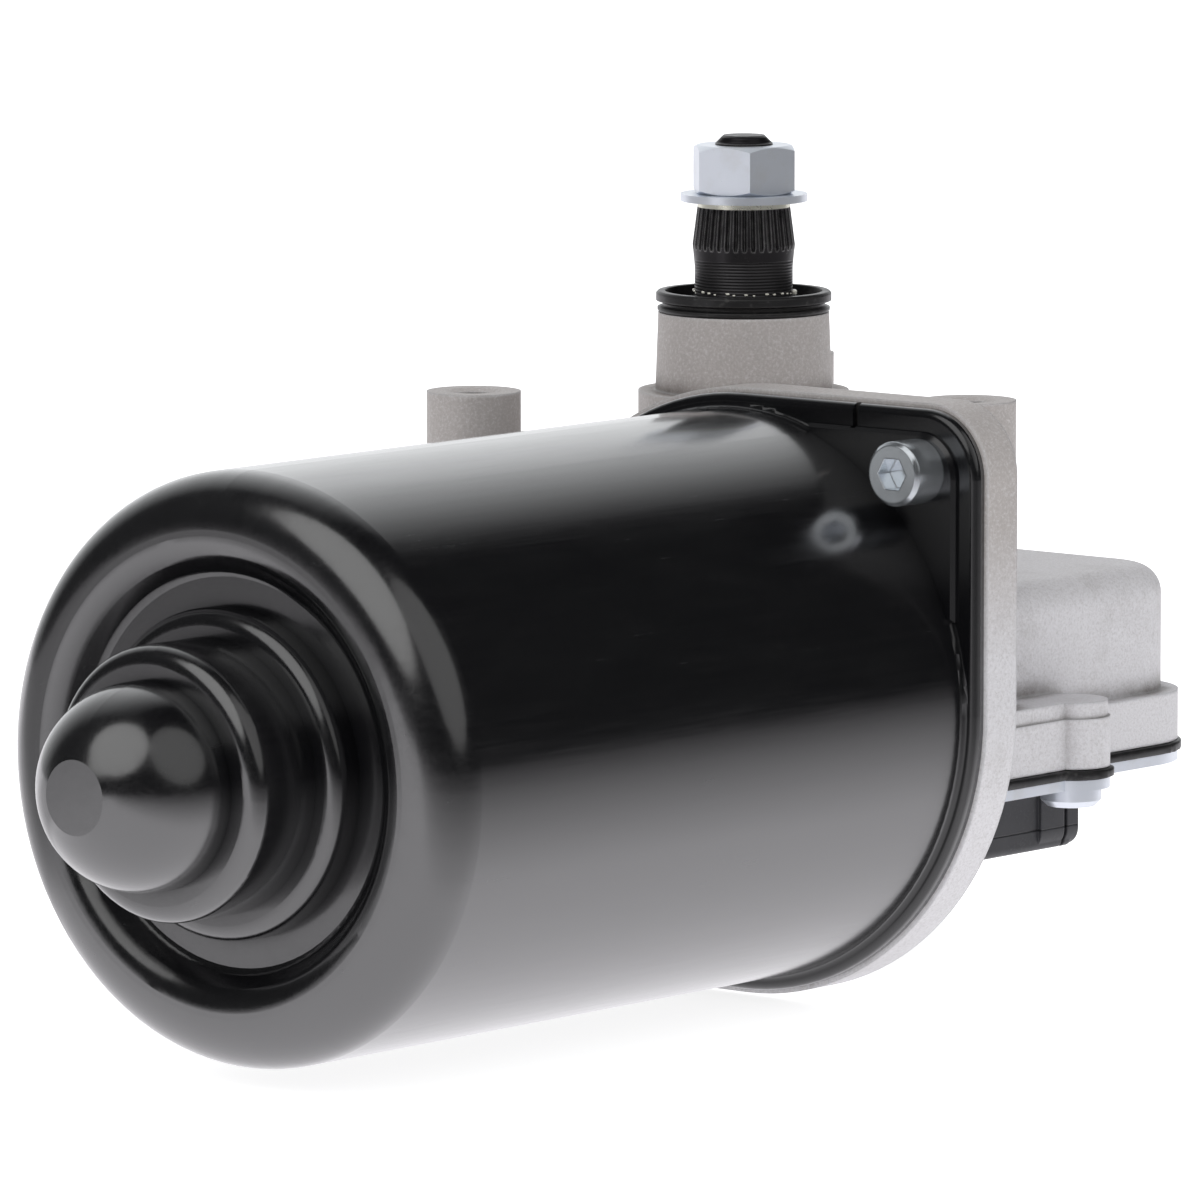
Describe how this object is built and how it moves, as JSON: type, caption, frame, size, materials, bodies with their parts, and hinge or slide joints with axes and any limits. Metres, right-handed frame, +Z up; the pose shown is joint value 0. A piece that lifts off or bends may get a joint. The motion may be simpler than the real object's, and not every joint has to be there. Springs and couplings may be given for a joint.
{
  "type": "wiper motor",
  "caption": "Windscreen wiper motor: black drawn steel can bolted to a die-cast worm gearbox with a splined upright output shaft, nut and side mounting bosses.",
  "frame": {"origin": "output shaft axis at the plane of the three mounting boss tops", "axes": "+Z up along the output shaft, +X along the motor axis from the can's nose towards the gearbox end wall"},
  "size_m": [0.218, 0.1062, 0.1104],
  "materials": {
    "can_black": "satin-gloss black stoved enamel on drawn steel",
    "cast_aluminium": "shot-blasted die casting",
    "zinc": "bright zinc plate",
    "shaft_black": "black oxide steel",
    "bright_steel": "ground steel",
    "core_steel": "stacked electrical steel",
    "rubber_black": "moulded elastomer",
    "connector_black": "moulded glass-filled nylon",
    "wheel_plastic": "natural acetal",
    "brown_board": "phenolic laminate",
    "brass": "stamped brass",
    "copper": "enamelled copper",
    "bronze": "oil-filled sintered bronze",
    "ferrite": "sintered ferrite",
    "carbon": "copper-graphite"
  },
  "bodies": {
    "housing": {"motor_can": "can_black", "can_screws": "zinc", "gear_housing": "cast_aluminium", "cover_gasket": "rubber_black", "gear_cover": "zinc", "cover_screws": "zinc", "output_seal": "rubber_black", "upper_bush": "bronze", "lower_bush": "bronze", "thrust_washer": "bright_steel", "upper_magnet": "ferrite", "lower_magnet": "ferrite", "magnet_clips": "bright_steel", "nose_bearing": "bronze", "bearing_retainer": "bright_steel", "nose_thrust_pad": "wheel_plastic", "drive_bearing": "bright_steel", "worm_end_bush": "bronze", "worm_thrust_pad": "bright_steel", "thrust_screw": "zinc", "brush_plate": "brown_board", "brush_holders": "brass", "contact_plate": "connector_black", "contact_fingers": "brass", "connector_housing": "connector_black", "connector_blades": "brass", "brush_spring_1": "bright_steel", "brush_spring_2": "bright_steel", "brush_spring_3": "bright_steel"},
    "output": {"output_shaft": "shaft_black", "worm_wheel": "wheel_plastic", "contact_disc": "brass", "wheel_circlip": "bright_steel", "spring_washer": "zinc", "output_washer": "zinc", "output_nut": "zinc", "shaft_circlip": "bright_steel"},
    "armature": {"motor_shaft": "bright_steel", "armature_core": "core_steel", "armature_windings": "copper", "commutator": "copper", "commutator_hub": "brown_board", "nose_spacer": "wheel_plastic", "drive_spacer": "wheel_plastic"},
    "brush_1": {"brush_1": "carbon"},
    "brush_2": {"brush_2": "carbon"},
    "brush_3": {"brush_3": "carbon"}
  },
  "joints": [
    {"name": "armature_spin", "type": "hinge", "parent": "housing", "child": "armature", "pos_m": [0, -0.028, -0.0367], "axis": [1, 0, 0], "continuous": true},
    {"name": "output_spin", "type": "hinge", "parent": "housing", "child": "output", "pos_m": [0, 0, 0], "axis": [0, 0, 1], "continuous": true},
    {"name": "brush_1_slide", "type": "slide", "parent": "housing", "child": "brush_1", "axis": [0, 0, 1], "range_m": [0, 0.002], "stiffness_N_per_m": 300, "springref_m": -0.006, "deforming": ["brush_spring_1"]},
    {"name": "brush_2_slide", "type": "slide", "parent": "housing", "child": "brush_2", "axis": [0, 0, -1], "range_m": [0, 0.002], "stiffness_N_per_m": 300, "springref_m": -0.006, "deforming": ["brush_spring_2"]},
    {"name": "brush_3_slide", "type": "slide", "parent": "housing", "child": "brush_3", "axis": [0, -0.866, 0.5], "range_m": [0, 0.002], "stiffness_N_per_m": 300, "springref_m": -0.006, "deforming": ["brush_spring_3"]}
  ],
  "couplings": [
    {"joint": "output_spin", "follows": "armature_spin", "ratio": -0.021739}
  ]
}
